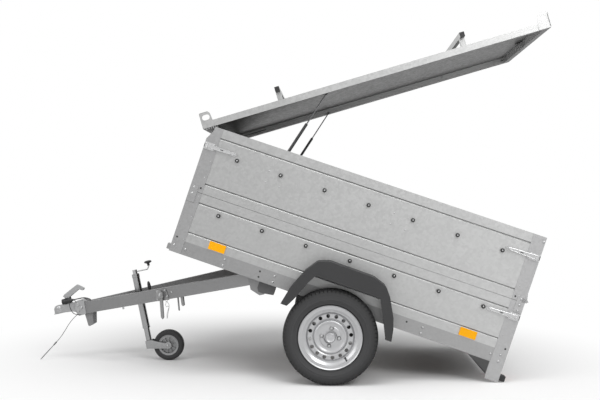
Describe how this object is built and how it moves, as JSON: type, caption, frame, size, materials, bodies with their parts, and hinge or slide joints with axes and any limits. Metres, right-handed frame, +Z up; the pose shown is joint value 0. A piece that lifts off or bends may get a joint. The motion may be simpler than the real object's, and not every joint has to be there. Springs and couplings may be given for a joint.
{
  "type": "tipping utility trailer",
  "caption": "Single-axle utility trailer with folded-sheet board sides, raised steel lid on gas struts, V drawbar with ball coupling and jockey wheel, its box tipped back",
  "frame": {"origin": "middle of the trailer's bounding box on the floor it stands on", "axes": "+X forward to the coupling, +Y to the trailer's left side, +Z up"},
  "size_m": [3.1942, 1.433, 2.14],
  "materials": {
    "black_paint": "satin black lacquer",
    "black_plastic": "moulded, fine grain",
    "block_rubber": "moulded buffer",
    "bright_steel": "bright zinc plate",
    "chrome_rod": "polished",
    "floor_wood": "film-faced plywood",
    "guard_plastic": "moulded, fine grain",
    "lamp_lens": "clear lens",
    "reflector": "clear prismatic",
    "tyre_rubber": "matt black rubber",
    "wheel_silver": "silver lacquer",
    "zinc": "spangled hot-dip zinc sheet",
    "zinc_dark": "matt hot-dip zinc on welded parts"
  },
  "bodies": {
    "box": {"floor_frame": "zinc_dark", "floor_panel": "floor_wood", "side_boards_lower": "zinc", "side_boards_upper": "zinc", "front_board_lower": "zinc", "posts_lower": "zinc_dark", "posts_upper": "zinc_dark", "latches": "bright_steel", "tarp_knobs": "black_plastic", "reflectors": "reflector", "lamp_beam": "zinc_dark", "rear_lamps": "lamp_lens", "axle_beam": "zinc_dark", "swing_arms": "zinc_dark", "mudguards": "guard_plastic", "rear_buffers": "block_rubber", "pivot_brackets": "zinc_dark", "tip_catch": "zinc_dark", "strut_studs": "bright_steel", "board_pins": "zinc_dark"},
    "drawbar": {"drawbar_arms": "zinc_dark", "coupling_head": "bright_steel", "coupling_handle": "bright_steel", "front_bracket": "zinc_dark", "plug": "black_plastic", "plug_lead": "black_plastic", "lead_gland": "black_plastic", "safety_cable": "bright_steel", "cable_eye": "bright_steel", "tip_lock": "zinc_dark", "jockey_clamp": "zinc_dark", "clamp_grip": "black_plastic", "jockey_outer_tube": "zinc", "jockey_crank": "bright_steel", "crank_knob": "black_plastic"},
    "jockey_leg": {"jockey_inner_tube": "bright_steel"},
    "jockey_fork": {"jockey_fork": "zinc"},
    "jockey_wheel": {"jockey_rim": "wheel_silver", "jockey_tyre": "tyre_rubber"},
    "wheel_left": {"tyre_left": "tyre_rubber", "rim_left": "wheel_silver", "hub_left": "zinc_dark"},
    "wheel_right": {"tyre_right": "tyre_rubber", "rim_right": "wheel_silver", "hub_right": "zinc_dark"},
    "lid": {"lid_frame": "zinc", "lid_sheet": "zinc", "lid_brackets": "zinc", "lid_lock": "zinc_dark", "roof_bars": "zinc", "roof_bar_caps": "black_plastic"},
    "strut_body_left": {"strut_cylinder_left": "black_paint"},
    "strut_body_right": {"strut_cylinder_right": "black_paint"},
    "strut_shaft_left": {"strut_rod_left": "chrome_rod"},
    "strut_shaft_right": {"strut_rod_right": "chrome_rod"},
    "front_flap": {"front_board_upper": "zinc"},
    "tailgate_lower": {"tailgate_lower": "zinc"},
    "tailgate_upper": {"tailgate_upper": "zinc"}
  },
  "joints": [
    {"name": "tip", "type": "hinge", "parent": "box", "child": "drawbar", "pos_m": [0.10197, 0, 0.52828], "axis": [0, 1, 0], "range_deg": [-30.57, 4]},
    {"name": "jockey_lift", "type": "slide", "parent": "drawbar", "child": "jockey_leg", "axis": [0.2062, 0, 0.9785], "range_m": [-0.1, 0.07]},
    {"name": "jockey_swivel", "type": "hinge", "parent": "jockey_leg", "child": "jockey_fork", "pos_m": [0.8957, 0, 0.12902], "axis": [0.2062, 0, 0.9785], "continuous": true},
    {"name": "jockey_roll", "type": "hinge", "parent": "jockey_fork", "child": "jockey_wheel", "pos_m": [0.76183, 0, 0.1], "axis": [0, 1, 0], "continuous": true},
    {"name": "wheel_left_roll", "type": "hinge", "parent": "box", "child": "wheel_left", "pos_m": [-0.31, 0.643, 0.273], "axis": [0, 1, 0], "continuous": true},
    {"name": "wheel_right_roll", "type": "hinge", "parent": "box", "child": "wheel_right", "pos_m": [-0.31, -0.643, 0.273], "axis": [0, 1, 0], "continuous": true},
    {"name": "lid_hinge", "type": "hinge", "parent": "box", "child": "lid", "pos_m": [0.36469, 0, 1.48467], "axis": [0, 1, 0], "range_deg": [-34.7, 0]},
    {"name": "front_flap_hinge", "type": "hinge", "parent": "box", "child": "front_flap", "pos_m": [0.52455, 0, 1.13019], "axis": [0, 1, 0], "range_deg": [0, 90]},
    {"name": "tailgate_lower_hinge", "type": "hinge", "parent": "box", "child": "tailgate_lower", "pos_m": [-1.33314, 0, 0.14902], "axis": [0, -1, 0], "range_deg": [0, 100]},
    {"name": "tailgate_upper_hinge", "type": "hinge", "parent": "box", "child": "tailgate_upper", "pos_m": [-1.44036, 0, 0.4664], "axis": [0, -1, 0], "range_deg": [0, 110]},
    {"name": "strut_left_swing", "type": "hinge", "parent": "box", "child": "strut_body_left", "pos_m": [-0.04763, 0.512, 1.31793], "axis": [0, 1, 0], "range_deg": [-66.98, 0.2]},
    {"name": "strut_left_stroke", "type": "slide", "parent": "strut_body_left", "child": "strut_shaft_left", "axis": [-0.5478, 0, 0.8366], "range_m": [-0.19706, 0.0005]},
    {"name": "strut_right_swing", "type": "hinge", "parent": "box", "child": "strut_body_right", "pos_m": [-0.04763, -0.512, 1.31793], "axis": [0, 1, 0], "range_deg": [-66.98, 0.2]},
    {"name": "strut_right_stroke", "type": "slide", "parent": "strut_body_right", "child": "strut_shaft_right", "axis": [-0.5478, 0, 0.8366], "range_m": [-0.19706, 0.0005]}
  ],
  "couplings": [
    {"joint": "strut_left_swing", "follows": "lid_hinge", "ratio": 1.9244},
    {"joint": "strut_left_stroke", "follows": "lid_hinge", "m_per_rad": 0.32456},
    {"joint": "strut_right_swing", "follows": "lid_hinge", "ratio": 1.9244},
    {"joint": "strut_right_stroke", "follows": "lid_hinge", "m_per_rad": 0.32456}
  ]
}
